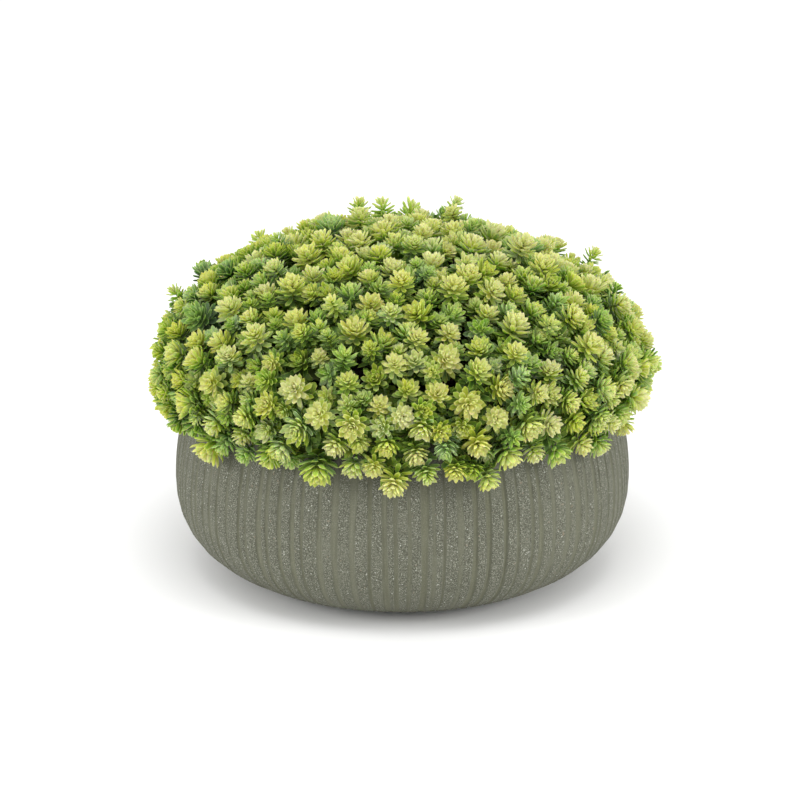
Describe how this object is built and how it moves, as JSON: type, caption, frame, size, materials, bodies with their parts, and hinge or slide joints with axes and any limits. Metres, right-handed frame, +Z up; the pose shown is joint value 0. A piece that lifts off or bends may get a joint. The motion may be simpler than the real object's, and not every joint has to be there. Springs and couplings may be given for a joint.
{
  "type": "potted stonecrop arrangement",
  "caption": "Rounded ribbed bowl of potting soil with a dense domed cushion of stonecrop heads that spills over its rim.",
  "frame": {"origin": "centre of the bowl's flat foot, on the surface that it rests on", "axes": "+Z up along the bowl's axis; -Y faces the viewer, +X is the viewer's right"},
  "size_m": [0.3881, 0.3826, 0.2629],
  "materials": {
    "sage_stoneware": "matte",
    "potting_soil": "matte",
    "lime_leaf": "satin",
    "green_leaf": "satin",
    "blue_green_leaf": "satin"
  },
  "bodies": {
    "root": {"ribbed_bowl": "sage_stoneware", "potting_soil": "potting_soil", "stonecrop_spray_01": "lime_leaf", "stonecrop_spray_02": "lime_leaf", "stonecrop_spray_03": "green_leaf", "stonecrop_spray_04": "green_leaf", "stonecrop_spray_05": "lime_leaf", "stonecrop_spray_06": "lime_leaf", "stonecrop_spray_07": "lime_leaf", "stonecrop_spray_08": "green_leaf", "stonecrop_spray_09": "green_leaf", "stonecrop_spray_10": "green_leaf", "stonecrop_spray_11": "green_leaf", "stonecrop_spray_12": "lime_leaf", "stonecrop_spray_13": "lime_leaf", "stonecrop_spray_14": "blue_green_leaf", "stonecrop_spray_15": "green_leaf", "stonecrop_spray_16": "green_leaf", "stonecrop_spray_17": "green_leaf", "stonecrop_spray_18": "lime_leaf", "stonecrop_spray_19": "blue_green_leaf", "stonecrop_spray_20": "green_leaf", "stonecrop_spray_21": "lime_leaf", "stonecrop_spray_22": "lime_leaf", "stonecrop_spray_23": "blue_green_leaf", "stonecrop_spray_24": "lime_leaf", "stonecrop_spray_25": "lime_leaf", "stonecrop_spray_26": "green_leaf", "stonecrop_spray_27": "green_leaf", "stonecrop_spray_28": "lime_leaf", "stonecrop_spray_29": "lime_leaf", "stonecrop_spray_30": "lime_leaf", "stonecrop_spray_31": "green_leaf", "stonecrop_spray_32": "lime_leaf", "stonecrop_spray_33": "lime_leaf", "stonecrop_spray_34": "lime_leaf", "stonecrop_spray_35": "lime_leaf", "stonecrop_spray_36": "lime_leaf"}
  },
  "joints": []
}
